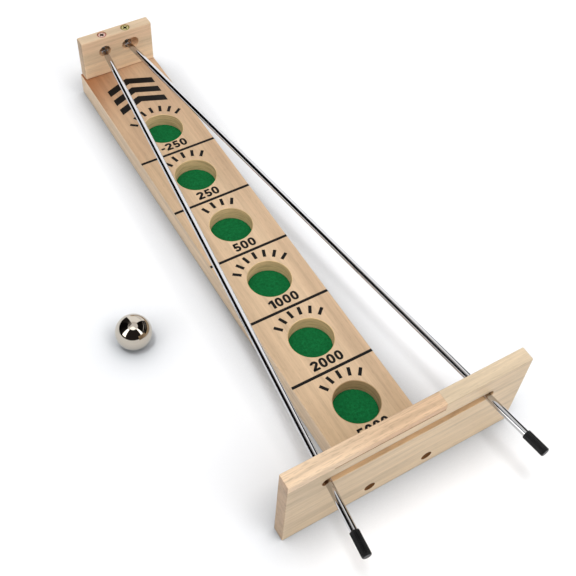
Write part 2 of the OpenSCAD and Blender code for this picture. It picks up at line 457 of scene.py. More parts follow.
def bored_wood(name, colour, marks, shift=None):
    """Wood where a drill or a cutter has been: raw, dull and rough, in bands where the tool has turned. marks
    are these bands' lengths along each axis in millimetres, shift a slow change: (axis, from, to, tint)."""
    m, t, bsdf = finish(name, {"Roughness": 0.8, "Specular IOR Level": 0.1})
    place = on_piece(t)
    chips = speckle(t, stretched(t, place, [1 / (k * MM) for k in marks]), 3, 0.6)
    tone = graded(t, chips, (0.36, shade(colour, 0.74)), (0.5, colour), (0.66, shade(colour, 1.12)))
    if shift:
        axis, start, stop, tint = shift
        split = add(t, "ShaderNodeSeparateXYZ", {0: place})
        tone = tinted(t, tone, ranged(t, split.outputs[axis], start * MM, stop * MM), tint)
    wired(t, bsdf, {"Base Color": tone}, (0.5, 0.1, chips))
    return m


def ink_on_wood(name, colour):
    """Screen printed ink: a flat black film, a little uneven where it lies on the fibres."""
    m, t, bsdf = finish(name, {"Specular IOR Level": 0.2})
    # The fibres under the ink show through it as streaks about 1 mm wide
    fibres = speckle(t, stretched(t, on_piece(t), (1 / MM, 60, 1 / MM)), 2)
    tone = graded(t, fibres, (0.35, colour), (0.7, shade(colour, 1.8)))
    wired(t, bsdf, {"Base Color": tone, "Roughness": ranged(t, fibres, 0, 1, 0.5, 0.7)})
    return m


def felt(name, colour):
    """Pressed wool felt: dull, mottled, with a soft halo of fibres at a low angle."""
    m, t, bsdf = finish(name, {
        "Roughness": 0.95, "Specular IOR Level": 0.1,
        "Sheen Weight": 0.15, "Sheen Roughness": 0.5, "Sheen Tint": (*shade(colour, 3), 1),
    })
    place = on_piece(t)
    # Tufts are about 2 mm across, single fibres are drawn 0.5 mm wide so that they show
    tufts = speckle(t, place, 3, 0.7, scale=1 / (2 * MM))
    fibres = speckle(t, place, 2, scale=1 / (0.5 * MM), distortion=1.5)
    tone = graded(t, tufts, (0.3, shade(colour, 0.72)), (0.5, colour), (0.7, shade(colour, 1.25)))
    shown = scaled(t, tone, ranged(t, fibres, 0.3, 0.7, 0.8, 1.15))
    wired(t, bsdf, {"Base Color": shown}, (0.8, 0.3, fibres))
    return m


def metal(name, colour, roughness, marks, wear, along=None, depth=0.002):
    """Plated or polished metal, roughened by up to marks where it is worn. wear is how many scratches lie on
    a metre, along the same along Y if it differs, and depth their depth in millimetres."""
    m, t, bsdf = finish(name, {"Base Color": (*colour, 1), "Metallic": 1})
    scratches = speckle(t, stretched(t, on_piece(t), (wear, along or wear, wear)), 4, 0.6)
    rough = ranged(t, scratches, 0.35, 0.7, roughness, roughness + marks)
    wired(t, bsdf, {"Roughness": rough}, (0.3, depth, scratches))
    return m


def vinyl(name, colour):
    """Moulded soft vinyl: black, satin, with the faint mottle of the mould, about 1 mm across."""
    m, t, bsdf = finish(name, {"Specular IOR Level": 0.3})
    mottle = speckle(t, on_piece(t), 3, scale=900)
    tone = graded(t, mottle, (0.3, shade(colour, 0.8)), (0.7, shade(colour, 1.3)))
    sheen = ranged(t, mottle, 0, 1, 0.3, 0.42)
    wired(t, bsdf, {"Base Color": tone, "Roughness": sheen}, (0.3, 0.03, mottle))
    return m


# Pieces


class BALLGAME_OT_board(bpy.types.Operator):
    """Planes the board, bores its six pockets and leaves their mouths sanded"""

    bl_idname = "ballgame.board"
    bl_label = "Board"

    def execute(self, context):
        s = context.scene.ballgame_wood
        low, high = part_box("board")
        # Pale birch under thin varnish: a soft sheen over fine streaks, with painted shade and painted light
        # in its tone
        face = wood(
            "birch_board_planed_and_varnished", s.board, 1, contrast=0.13,
            # Its sides are painted lighter than its top as painted light; its darker ends are end grain
            faces=(("X", (1.03, 1.08, 1.14)), ("Y", grey(0.72))),
            # Painted shade: the top darker and redder towards the block, most in its left corner, darker
            # towards its left, its right edge and the plate; painted light on the sides near the plate
            shifts=(
                ("Y", 10, 90, (0.94, 0.91, 0.88), "Z"), ((-1, 1, 0), 100, 130, (0.93, 0.90, 0.90), "Z"),
                ("X", 12, 24, (0.94, 0.91, 0.9), "Z"), ("X", 20, -30, (0.96, 0.94, 0.92), "Z"),
                ((-1.2, 1, 0), 160, 240, (0.58, 0.36, 0.24), "Z"),
                ("Y", -140, -185, (0.87, 0.87, 0.84), "Z"), ("Y", -140, -205, grey(1.1), "X"),
            ),
        )
        # Raw wood in the pockets: dull and warm, with the level rings of the drill, darkened by painted shade
        # in the pocket nearest the plate
        raw = bored_wood(
            "birch_pocket_bored", linear("#DDBF92"), (12, 20, 0.8), ("Y", -135, -150, (0.66, 0.62, 0.62)),
        )
        piece = made_of(sanded_block("board_planed", low, high, s.edge), face)
        pocket = flared(depth=high.z - 6.5 * MM, r=15.9 * MM, flare=0.5 * MM)
        cutters = [turned("drill", (p.x, p.y, high.z), DOWN, pocket, 96) for p in POCKETS]
        # Screw holes: from below for the block, with a stepped drill, and from the end for the plate
        step = millimetres([(-1, 3.9), (0, 3.9), (0.2, 3.7), (4, 3.7), (4, 2.1), (21, 2.1)])
        for x in BLOCK_SCREW_X:
            cutters.append(turned("drill", (x * MM, BLOCK_SCREW_Y * MM, 0), UP, step, 48))
        straight = millimetres([(-1, 1.95), (28, 1.95)])
        for x in PLATE_SCREW_X:
            cutters.append(turned("drill", (x * MM, low.y, PLATE_SCREW_Z * MM), AWAY, straight, 32))
        carve(piece, [made_of(c, raw) for c in cutters])
        dress(smooth(piece), "game_board", "board_wood", "board")
        return {"FINISHED"}


class BALLGAME_OT_front_plate(bpy.types.Operator):
    """Cuts the front plate with its rod slot, its screw holes and the seat of the top strip"""

    bl_idname = "ballgame.front_plate"
    bl_label = "Front plate and top strip"

    def execute(self, context):
        s = context.scene.ballgame_wood
        low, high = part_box("front_plate")
        strip_low, strip_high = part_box("plate_top_stave")
        # Pale birch under thin varnish: soft sheen and level grain, darker at its left, with painted light on
        # its top and at the foot of its front
        face = wood(
            "birch_plate_planed_and_varnished", s.plate, 0, band=7,
            faces=(("Z", (1.1, 1.15, 1.22)), ("X", (0.78, 0.70, 0.66))),
            shifts=(
                ("X", 40, -75, grey(0.84), ""), ("X", 60, 86, grey(0.93), "Y"), ("Z", 18, 2, grey(1.13), "Y"),
            ),
        )
        # Raw wood that the cutter left in the slot: dull, and painted darker than the face as the shade
        # inside the slot, darkest at its left end
        raw = bored_wood(
            "birch_slot_milled", linear("#C4A27C"), (25, 4, 0.7), ("X", -55, -60, (0.4, 0.28, 0.22)),
        )
        # Raw wood inside the screw holes, painted dark and dull as the shade deep inside them
        hole_shade = bored_wood("birch_screw_holes_painted_shade", linear("#7C5636"), (4, 0.8, 4))
        # Raw wood in the scraped glue line: brown and dull, so that it reads as a fine dark groove
        glue = bored_wood("birch_glue_line_scraped", linear("#8C6848"), (25, 4, 0.7))
        # Beech strip, sanded: more colour than the plank and short dark flecks of its pores, darker towards
        # its left, with a little painted light on its top
        fleck = wood(
            "beech_strip_glued_and_sanded", s.stave, 0, band=4, contrast=0.16, fleck=0.17, pores=0.47,
            faces=(("X", (0.6, 0.54, 0.5)), ("Z", grey(1.02))),
            shifts=(("X", -70, 0, (0.93, 0.87, 0.82), ""), ("X", -50, -20, (0.88, 0.82, 0.78), "Y")),
        )
        plate = made_of(sanded_block("plate_sawn", low, high, s.edge), face)
        strip = made_of(sanded_block("plate_top_strip", low, high, s.edge), fleck)
        # The strip's seat is sawn a hair larger than the strip
        seam_z, seam_x = strip_low.z, strip_high.x
        side, hair, sharp = 5 * MM, 0.05 * MM, 0.01 * MM
        seat_low = Vector((low.x - side, low.y - side, seam_z))
        seat_high = Vector((seam_x, high.y + side, high.z + side))
        seat = made_of(sanded_block("saw", seat_low, seat_high, sharp, 1), raw)
        seat_low.z += hair
        seat_high.x -= hair
        keep = sanded_block("saw", seat_low, seat_high, sharp, 1)

        # The slot: a long round-ended cutter with flared mouths on both faces
        left, right, centre, r, flare = (k * MM for k in (-61, 63, 55.2, 3.9, 0.35))
        rows = [(low.y - 1 * MM, flare)]
        for k in range(4):
            bend = math.sin(math.pi / 2 * k / 3)
            rows.append((low.y + flare * bend, flare * (1 - bend)))
        rows += [(high.y - (y - low.y), g) for y, g in rows[::-1]]
        loops = []
        for y, grow in rows:
            loop = []
            for mid, start in ((right - r, -90), (left + r, 90)):
                for k in range(25):
                    a = math.radians(start + 180 * k / 24)
                    across, rise = (r + grow) * math.cos(a), (r + grow) * math.sin(a)
                    loop.append(Vector((mid + across, y, centre + rise)))
            loops.append(loop)
        cutters = [seat, made_of(lofted("cutter", loops), raw)]
        step = [(-1, 3.95), (0, 3.95), (0.1, 3.77), (0.25, 3.7), (6, 3.7), (6, 2.1), (11, 2.1)]
        for x in PLATE_SCREW_X:
            hole = turned("drill", (x * MM, low.y, PLATE_SCREW_Z * MM), AWAY, millimetres(step), 48)
            cutters.append(made_of(hole, hole_shade))
        carve(plate, cutters)
        carve(strip, [made_of(keep, fleck)], "INTERSECT")
        wide, front, floor = 1.5 * MM, low.y - 1 * MM, low.y + 0.4 * MM
        for piece in (plate, strip):
            groove = [
                [(x, front, seam_z + wide), (x, front, seam_z - wide), (x, floor, seam_z)]
                for x in (-54 * MM, seam_x)
            ]
            carve(piece, [made_of(lofted("scraper", groove), glue)])
        dress(smooth(plate), "game_board", "plate_wood", "front_plate")
        dress(smooth(strip), "game_board", "stave_wood", "plate_top_stave")
        return {"FINISHED"}


class BALLGAME_OT_back_block(bpy.types.Operator):
    """Rounds the back block and bores the holes for the rod ends and their screws"""

    bl_idname = "ballgame.back_block"
    bl_label = "Back block"

    def execute(self, context):
        s = context.scene.ballgame_wood
        low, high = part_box("back_block")
        # Sanded birch under thin varnish: brown bands across it, dark on its end grain, redder near the top
        # of its front; painted shade darkens its top and painted light lightens it towards the board
        face = wood(
            "birch_block_sanded_and_varnished", s.block, 0, band=8, contrast=0.16,
            faces=(("X", (0.60, 0.56, 0.52)), ("Z", (0.94, 0.95, 0.97))),
            shifts=(("Z", 50, 20, grey(1.28), ""), ("Z", 40, 50, (1.1, 1.03, 1.02), "Y")),
        )
        # Raw wood in the eye holes, as pale as the face
        raw = bored_wood("birch_eye_holes_bored", linear("#E2BD97"), (4, 0.8, 4))
        piece = made_of(sanded_block("block_rounded", low, high, s.block_edge, 4), face)
        eye_hole = flared(depth=8.7 * MM, r=5.1 * MM, flare=0.2 * MM)
        cutters = [turned("drill", (x * MM, low.y, EYE_HOLE_Z * MM), AWAY, eye_hole, 64) for x in EYE_HOLE_X]
        # Holes for the pivot screws, countersunk so that their heads sit just below the top
        sink = millimetres([(-1, 3.95), (0, 3.95), (0.15, 3.85), (0.9, 3.85), (3.1, 1.65), (30.5, 1.65)])
        for body in ("left_arm", "right_arm"):
            cutters.append(turned("drill", (PIVOT[body].x, PIVOT[body].y, high.z), DOWN, sink, 48))
        carve(piece, [made_of(c, raw) for c in cutters])
        dress(smooth(piece), "game_board", "block_wood", "back_block")
        return {"FINISHED"}


class BALLGAME_OT_felt(bpy.types.Operator):
    """Cuts the six felt discs, uneven on top and soft at the rim"""

    bl_idname = "ballgame.felt"
    bl_label = "Felt discs"

    def execute(self, context):
        # Pressed wool felt, die cut: a deep green that takes light without any gloss
        green = felt("wool_felt_pressed", context.scene.ballgame_soft.felt)
        for i in range(1, 7):
            low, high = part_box("felt_disc_%d" % i)
            mid = (low + high) / 2
            r = (high.x - low.x) / 2
            rim = 0.6 * MM
            rows = [(0, 0), (0, r - 0.1 * MM), (0.3 * MM, r), (1.5 * MM, r)]
            for a in (0.5, 1.0, 1.57):
                rows.append((1.5 * MM + 0.4 * MM * math.sin(a), r - rim * (1 - math.cos(a))))
            rows += [(1.9 * MM, (r - rim) * (1 - k / 24)) for k in range(1, 25)]
            piece = turned("felt_disc_cut_%d" % i, (mid.x, mid.y, low.z), UP, rows, 96)
            # Tufts about 6 mm across lift the top by up to 0.1 mm, fibres about 1 mm across by half of that
            for v in piece.data.vertices:
                if v.co.z > low.z + 1.2 * MM:
                    tufts, fibres = noise.noise(v.co * 160), noise.noise(v.co * 900)
                    v.co.z += tufts * 0.1 * MM + fibres * 0.05 * MM - 0.02 * MM
                    v.co.z = min(v.co.z, high.z)
            piece.data.shade_smooth()
            dress(made_of(piece, green), "game_board", "green_felt", "felt_disc_%d" % i)
        return {"FINISHED"}


def stroke(path, width):
    """Outlines of a brush of this width drawn along the path."""
    sides = []
    for i, (x, y) in enumerate(path):
        ax, ay = path[max(i - 1, 0)]
        bx, by = path[min(i + 1, len(path) - 1)]
        k = width / 2 / math.hypot(bx - ax, by - ay)
        sides.append(((x - (by - ay) * k, y + (bx - ax) * k), (x + (by - ay) * k, y - (bx - ax) * k)))
    return [[a[0], b[0], b[1], a[1]] for a, b in zip(sides, sides[1:])]


def arc(cx, cy, rx, ry, start, stop, steps=24):
    turns = [math.radians(start + (stop - start) * k / steps) for k in range(steps + 1)]
    return [(cx + rx * math.cos(a), cy + ry * math.sin(a)) for a in turns]


def oval(rx, ry):
    """The outline of a zero, inside or outside, a little square at its shoulders."""
    turns = [squarish(2 * math.pi * k / 40, 0.84) for k in range(41)]
    return [(2.65 + u * rx, 3.75 + v * ry) for u, v in turns]


# Height of the digits below, and the gap between two of them, before they are scaled
DIGIT_HEIGHT, DIGIT_GAP = 7.5, 0.9


def digit_shapes():
    """The plain bold digits: each one's width and its outlines."""
    outer, inner = oval(2.7, 3.85), oval(0.8, 2.2)
    two = stroke(arc(2.75, 5.25, 1.9, 1.5, 172, -32) + [(2.4, 2.4), (1.0, 0.95)], 1.9)
    five = stroke(arc(2.6, 2.4, 1.8, 1.65, 152, -158), 1.85)
    return {
        "-": (3.0, [[(0, 2.45), (3, 2.45), (3, 4.2), (0, 4.2)]]),
        "0": (5.3, [[a, b, d, c] for a, b, c, d in zip(outer, outer[1:], inner, inner[1:])]),
        "1": (4.0, [
            [(1.9, 0), (4.1, 0), (4.1, 7.5), (1.9, 7.5)],
            [(0, 4.75), (1.9, 5.35), (1.9, 7.5), (1.6, 7.1), (0, 6.5)],
        ]),
        "2": (5.6, two + [[(0.05, 0), (5.5, 0), (5.5, 1.75), (0.3, 1.75)]]),
        "5": (5.2, [
            [(0.8, 5.85), (4.85, 5.85), (4.85, 7.5), (0.8, 7.5)],
            [(0.3, 3.3), (2.05, 3.3), (2.3, 7.0), (0.75, 7.5)],
        ] + five),
    }


class BALLGAME_OT_print(bpy.types.Operator):
    """Screen prints the lines, the numbers, the arcs of marks and the chevrons on the board"""

    bl_idname = "ballgame.print"
    bl_label = "Print on the board"

    def execute(self, context):
        s = context.scene.ballgame_print
        # Screen printed ink: dense black and nearly matt, so that the marks stay crisp on the varnish
        ink = ink_on_wood("screen_ink_printed", s.ink)
        low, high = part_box("board")
        top = high.z + 0.03 * MM

        def film(name, outlines):
            # A film of ink: each outline is a flat polygon, given as points on the board's top
            points, faces = [], []
            for outline in outlines:
                faces.append(range(len(points), len(points) + len(outline)))
                points += outline
            dress(thin(name, points, faces, ink), "game_board", "board_wood")

        # Lines across the board, a hair beyond midway between pockets, bent down over the sanded edges
        edge = context.scene.ballgame_wood.edge
        bends = (0.5, 0.9, 1.25, math.pi / 2)
        xs = [(low.x + edge * (1 - math.cos(a)), edge * (math.sin(a) - 1)) for a in bends]
        xs += [(low.x + high.x - x, z) for x, z in xs[::-1]]
        lines = []
        for upper, lower in zip(POCKETS, POCKETS[1:]):
            y = (upper.y + lower.y) / 2 + 0.27 * MM
            near, far = y - s.line / 2, y + s.line / 2
            for (x0, z0), (x1, z1) in zip(xs, xs[1:]):
                corners = ((x0, near, z0), (x1, near, z1), (x1, far, z1), (x0, far, z0))
                lines.append([(px, py, top + pz) for px, py, pz in corners])
        film("printed_lines", lines)

        # Plain bold numbers, a hair left of the pockets, each with its distance in front of the centre
        digits = digit_shapes()
        scale, middle = s.height / DIGIT_HEIGHT, DIGIT_HEIGHT / 2
        places = {"-250": 20.6, "250": 21.2, "500": 21.3, "1000": 21, "2000": 20.95, "5000": 21}
        shapes = []
        for p, (value, down) in zip(POCKETS, places.items()):
            span = sum(digits[c][0] for c in value) + DIGIT_GAP * (len(value) - 1)
            x = p.x - span / 2 * scale - 0.6 * MM
            y = p.y - down * MM
            for c in value:
                width, outlines = digits[c]
                for outline in outlines:
                    shapes.append([(x + a * scale, y + (b - middle) * scale, top) for a, b in outline])
                x += (width + DIGIT_GAP) * scale
        film("printed_numbers", shapes)

        # Arcs of plain bars over the pockets
        bars = []
        for p, count in zip(POCKETS, (7, 5, 4, 7, 6, 5)):
            spread = 28 + 9 * (count - 4)
            for k in range(count):
                a = math.radians(1.5 - spread + 2 * spread * k / (count - 1))
                along = Vector((math.sin(a), math.cos(a), 0))
                across = Vector((math.cos(a), -math.sin(a), 0))
                bar = []
                for r, side in ((20, 1), (26.6, 1), (26.6, -1), (20, -1)):
                    q = Vector((p.x, p.y, 0)) + along * r * MM + across * side * 1.2 * MM
                    bar.append((q.x, q.y, top))
                bars.append(bar)
        film("printed_arcs", bars)

        # Three bold chevrons point up the board, in front of the block
        shapes = []
        for y in (154, 166, 178):
            for end in (-21, 19):
                corners = [(-1, y + 8), (-1, y + 1), (end, y - 7), (end, y)]
                shapes.append([(px, py, top) for px, py in millimetres(corners)])
        film("printed_chevrons", shapes)
        return {"FINISHED"}


def rod_frame(hand):
    """Pivot, direction, side, up and rise of the spread rod on one hand."""
    pivot = PIVOT[hand + "_arm"]
    low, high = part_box("front_plate")
    cross = Vector((CROSSING_X[hand] * MM, (low.y + high.y) / 2, 0))
    level = Vector((cross.x - pivot.x, cross.y - pivot.y, 0)).normalized()
    rise = math.atan2(CROSSING_Z * MM - pivot.z, pivot.y - cross.y)
    along = Vector((level.x * math.cos(rise), level.y * math.cos(rise), math.sin(rise)))
    side = along.cross(Vector(UP)).normalized()
    return pivot, along, side, side.cross(along), rise


class BALLGAME_OT_rods(bpy.types.Operator):
    """Draws the two rods, flattens their back ends into eyes and plates them"""

    bl_idname = "ballgame.rods"
    bl_label = "Rods"

    def execute(self, context):
        s = context.scene.ballgame_metal
        r = s.rod_d / 2 / MM
        # Drawn steel with bright chrome plating: a mirror with faint scratches along it
        chrome = metal("chrome_plated_drawn_steel", s.rod, 0.05, 0.06, wear=900, along=60, depth=0.003)
        for hand in ("left", "right"):
            pivot, along, side, up, rise = rod_frame(hand)
            reach = ROD_REACH / math.cos(rise)
            # Distance from the pivot, half width, half height, and how far the section sits above the axis
            rows = [
                (3.1, 1.5, 0.9, 0.6), (4.4, 1.9, 1.1, 0.5), (6, 2.05, 1.4, 0.3), (7.5, 2.2, 1.75, 0.12),
                (9.2, r - 0.06, 2.15, 0.03),
            ]
            rows += [(k, r, r, 0) for k in (11, 14, 60, 160, 260, 360, reach - 1, reach + 13.5)]
            loops = []
            for d, a, b, lift in rows:
                mid = pivot + along * d * MM + up * lift * MM
                power = 2 / (2 + 1.4 * max(0, (9 - d) / 9))
                turns = [squarish(2 * math.pi * k / 64, power) for k in range(64)]
                loops.append([mid + side * (x * a * MM) + up * (z * b * MM) for x, z in turns])
            shaft = lofted("shaft", loops)
            turns = [squarish(2 * math.pi * k / 24, 0.85) for k in range(24)]
            ring = [(1.2 * MM + z * 1.2 * MM, 3.3 * MM + x * 0.8 * MM) for x, z in turns]
            eye = turned("eye", (pivot.x, pivot.y, 40.2 * MM), UP, ring, 64, closed=True)
            piece = smooth(joined(hand + "_rod_plated", [shaft, eye]), 50, weighted=False)
            dress(made_of(piece, chrome), hand + "_arm", "rod_chrome", hand + "_rod")
        return {"FINISHED"}


class BALLGAME_OT_grips(bpy.types.Operator):
    """Moulds the two ribbed grips on the front ends of the rods"""

    bl_idname = "ballgame.grips"
    bl_label = "Grips"

    def execute(self, context):
        s = context.scene.ballgame_soft
        # Moulded soft vinyl: black with a satin shine along its ribs
        black = vinyl("soft_vinyl_moulded", s.grip)
        length, big = 16, 3.1

        def ribbed(h, a, r):
            # Ribs run lengthwise and fade out at both ends
            if r < 2.6 * MM:
                return r
            fade = min(1, max(0, (h / MM - 0.5) / 0.6)) * min(1, max(0, (length - 0.9 - h / MM) / 0.5))
            return r - 0.35 * MM * fade * (0.5 - 0.5 * math.cos(s.ribs * a)) ** 1.5

        rows = [(0.6, 0), (0.6, 2.39), (0.05, 2.42), (0, 2.55), (0, 2.8), (0.12, 3.0)]
        rows += [(h, big) for h in (0.35, 0.8, 1.1, 1.4)]
        rows += [(2 + 1.2 * k, big) for k in range(11)]
        rows += [(h, big) for h in (14.6, 14.9, 15.15)]
        for a in (0.4, 0.8, 1.2, 1.57):
            rows.append((15.15 + 0.85 * math.sin(a), big - 0.9 * (1 - math.cos(a))))
        rows += [(16, 1.6), (15.92, 0.9), (15.9, 0)]
        for hand in ("left", "right"):
            pivot, along, _, _, rise = rod_frame(hand)
            start = pivot + along * (ROD_REACH * MM / math.cos(rise))
            name = hand + "_grip"
            piece = turned(name + "_moulded", start, along, millimetres(rows), s.ribs * 8, radius=ribbed)
            smooth(piece, 60, weighted=False)
            dress(made_of(piece, black), hand + "_arm", "grip_rubber", name)
        return {"FINISHED"}


def cut_screw(name, head, down, d, length, profile, recess, turn, plating, hollow, steel, bare=0.35):
    """A cross-recess wood screw. head is the point on its axis that the head's profile starts from, profile
    its (distance down, radius) pairs, recess the (distance down, half length) of the recess at its floor and
    its mouth, bare the share of the shank that has no thread."""
    w = Vector(down).normalized()
    cap = made_of(turned("cap", head, w, millimetres(profile), 64), plating)
    u = w.orthogonal().normalized()
    cutters = []
    for k in range(2):
        side = Matrix.Rotation(turn + k * math.pi / 2, 3, w) @ u
        narrow = w.cross(side)
        loops = []
        for depth, half in recess:
            mid = Vector(head) + w * depth * MM
            wide = 0.35 + 0.14 * half
            corners = ((1, 1), (-1, 1), (-1, -1), (1, -1))
            loops.append([mid + side * half * i * MM + narrow * wide * j * MM for i, j in corners])
        cutters.append(made_of(lofted("driver", loops), hollow))
    carve(cap, cutters)
    pitch = 1.4 * MM

    def thread(h, a, r):
        if h < bare * length or r < 0.3 * MM:
            return r
        phase = (h / pitch - a / (2 * math.pi)) % 1
        return r * (0.74 + 0.26 * max(0, 1 - abs(phase - 0.5) * 3.2))

    # The shank starts inside the head, under the recess
    steps, start = 96, (recess[0][0] + 0.3) * MM
    rows = [(start, 0)]
    for k in range(steps + 1):
        h = start + (length - start) * k / steps
        rows.append((h, d / 2 * min(1, 0.12 + (length - h) / (1.5 * d))))
    shank = made_of(turned("shank", head, w, rows, 24, radius=thread), steel)
    return smooth(joined(name, [cap, shank]), 40, weighted=False)


class BALLGAME_OT_screws(bpy.types.Operator):
    """Sets the two countersunk pivot screws and the four domed wood screws"""

    bl_idname = "ballgame.screws"
    bl_label = "Screws"

    def execute(self, context):
        s = context.scene.ballgame_metal
        # Zinc plated steel of the shanks: grey with a soft, uneven shine
        steel = metal("screw_steel_zinc_plated", linear("#A9A9A6"), 0.25, 0.15, wear=1500)
        flat = [(0.02, 0), (0.02, 2.7), (0, 3), (0.12, 3.5), (0.35, 3.8), (0.45, 3.8), (2.6, 1.6), (2.6, 0)]
        # The second colour of each pair is the pale tone painted on the head's flat as a reflection
        for hand, colour, worn in (("left", s.left_screw, "#D0B5A7"), ("right", s.right_screw, "#B9AE7D")):
            node = hand + "_pivot_screw"
            # Thin plating: the flat of the head is painted pale as a reflection of the bright ceiling, and
            # round its rim the plating keeps its own colour
            pale = metal(hand + "_screw_plating_painted_reflection", linear(worn), 0.3, 0.15, wear=2500, depth=0.02)
            rim = metal(hand + "_screw_plating", colour, 0.35, 0.15, wear=2500, depth=0.02)
            # The recess is painted nearly black and dull, as the shade inside it
            recess_shade = metal(hand + "_screw_recess_painted_shade", shade(colour, 0.12), 0.5, 0.2, wear=2500)
            low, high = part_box(node)
            axis = PIVOT[hand + "_arm"]
            piece = cut_screw(
                node + "_turned", (axis.x, axis.y, high.z), DOWN, 3.2 * MM, high.z - low.z, flat,
                ((1.7, 0.9), (-0.3, 2.1)), math.radians(25), pale, recess_shade, steel, bare=0.58,
            )
            made_of(piece, rim)
            for f in piece.data.polygons:
                out = math.hypot(f.center.x - axis.x, f.center.y - axis.y)
                if f.material_index == 0 and out > 2.75 * MM:
                    f.material_index = len(piece.data.materials) - 1
            dress(piece, "game_board", "screw_plating", node)
        # Yellow zinc plating, tumbled: warm and softly bright deep in the plate's holes
        yellow = metal("wood_screw_yellow_zinc", linear("#B79A55"), 0.3, 0.15, wear=2500, depth=0.02)
        # The recess is painted dark brown as the shade inside it, so that the cross shows
        wood_recess_shade = metal("wood_screw_recess_painted_shade", linear("#3A2C18"), 0.5, 0.2, wear=2500)
        domed = [(0, 0), (0, 3.35), (-0.15, 3.5), (-0.66, 3.5)]
        for k in range(1, 9):
            a = math.pi / 2 * k / 8
            domed.append((-0.66 - 1.54 * math.sin(a) ** 0.9, 3.5 * math.cos(a) ** 0.75))
        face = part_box("front_plate")[0].y + 6 * MM
        sets = {
            "plate_screws": [((x * MM, face, PLATE_SCREW_Z * MM), AWAY) for x in PLATE_SCREW_X],
            "block_screws": [((x * MM, BLOCK_SCREW_Y * MM, 4 * MM), UP) for x in BLOCK_SCREW_X],
        }
        recess = ((-0.6, 0.8), (-2.7, 2.5))
        for node, places in sets.items():
            pair = [
                cut_screw(node, at, way, 3.8 * MM, 31 * MM, domed, recess, 0.4 + k, yellow, wood_recess_shade, yellow)
                for k, (at, way) in enumerate(places)
            ]
            dress(joined(node + "_turned", pair), "game_board", "screw_plating", node)
        return {"FINISHED"}


class BALLGAME_OT_ball(bpy.types.Operator):
    """Grinds and polishes the steel ball"""

    bl_idname = "ballgame.ball"
    bl_label = "Ball"

    def execute(self, context):
        low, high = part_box("steel_ball")
        mid = (low + high) / 2
        r = 12.7 * MM
        # Ground and polished bearing steel: a mirror with a faint haze of rolling marks
        polish = metal("bearing_steel_polished", context.scene.ballgame_metal.ball, 0.02, 0.03, wear=220)
        bm = bmesh.new()
        bmesh.ops.create_icosphere(bm, subdivisions=6, radius=r)
        for v in bm.verts:
            v.co = Vector((mid.x, mid.y, r)) + v.co.normalized() * r
        piece = from_bmesh("ball_polished", bm)
        piece.data.shade_smooth()
        dress(made_of(piece, polish), "ball", "ball_steel", "steel_ball")
        return {"FINISHED"}


# Stage


def towards(azimuth, elevation):
    """The direction to a place round the table, in degrees from +Y towards +X and up."""
    a, e = math.radians(azimuth), math.radians(elevation)
    return Vector((math.sin(a) * math.cos(e), math.cos(a) * math.cos(e), math.sin(e)))


def looked_at(t, **settings):
    """1 where a surface is seen or mirrored, 0 where it only gives light to others."""
    path = add(t, "ShaderNodeLightPath").outputs
    seen = maths(t, "ADD", path["Is Camera Ray"], path["Is Glossy Ray"])
    return maths(t, "ADD", seen, path["Is Transmission Ray"], **settings)


def lay_paper(colour):
    """White paper, wide enough to run out of sight, a hair below the game."""
    # Matt white paper, cast in one sheet: it takes soft shadows and shows no gloss
    m, t, bsdf = finish("white_paper_matt", {
        "Roughness": 0.9, "Specular IOR Level": 0, "Emission Color": (1, 1, 1, 1),
    })
    # The paper darkens a little close to what stands on it, as the photograph's soft shadows do
    near = add(t, "ShaderNodeAmbientOcclusion", {"Distance": 30 * MM}, samples=8).outputs["AO"]
    tone = scaled(t, colour, maths(t, "POWER", near, 1.02))
    # Light thrown back by the wood warms that shadow, and the photograph's is neutral, so it is cooled
    cool = tinted(t, tone, maths(t, "SUBTRACT", 1.0, near), (0.94, 1.0, 1.07))
    wired(t, bsdf, {"Base Color": cool, "Emission Strength": maths(t, "MULTIPLY", looked_at(t), 0.02)})
    bm = bmesh.new()
    bmesh.ops.create_circle(bm, cap_ends=True, radius=8, segments=96)
    floor = made_of(from_bmesh("floor_paper", bm), m)
    floor.location.z = -0.002 * MM
    return floor


def hang_lamp(name, azimuth, elevation, spread, strength, receivers=None, shadow=True):
    """A soft lamp that mirrors don't show, spread degrees wide. It lights the receivers, or everything."""
    lamp = bpy.data.lights.new(name, "SUN")
    lamp.energy = strength
    lamp.use_shadow = shadow
    lamp.angle = math.radians(spread)
    holder = put_in_scene(name, lamp)
    holder.rotation_euler = towards(azimuth, elevation).to_track_quat("Z", "Y").to_euler()
    holder.location = towards(azimuth, elevation) * 2
    holder.visible_glossy = False
    if receivers:
        holder.light_linking.receiver_collection = receivers


def hang_card(name, left, right, low, high, colour, strength):
    """A glowing card that only mirrors show: part of a sphere, between two azimuths and two elevations."""
    paint = bpy.data.materials.new("card_" + name)
    paint.use_nodes = True
    paint.cycles.emission_sampling = "NONE"
    tree = paint.node_tree
    tree.nodes.clear()
    glow = add(tree, "ShaderNodeEmission", {"Color": (*linear(colour), 1), "Strength": strength})
    add(tree, "ShaderNodeOutputMaterial", {"Surface": glow.outputs[0]})
    columns, rows, distance = 12, 6, 3
    points = [
        towards(left + (right - left) * i / columns, low + (high - low) * j / rows) * distance
        for j in range(rows + 1) for i in range(columns + 1)
    ]
    step = columns + 1
    first = [step * j + i for j in range(rows) for i in range(columns)]
    card = thin(name, points, [(k, k + 1, k + step + 1, k + step) for k in first], paint)
    card.visible_camera = card.visible_diffuse = card.visible_shadow = False
    card.visible_transmission = card.visible_volume_scatter = False


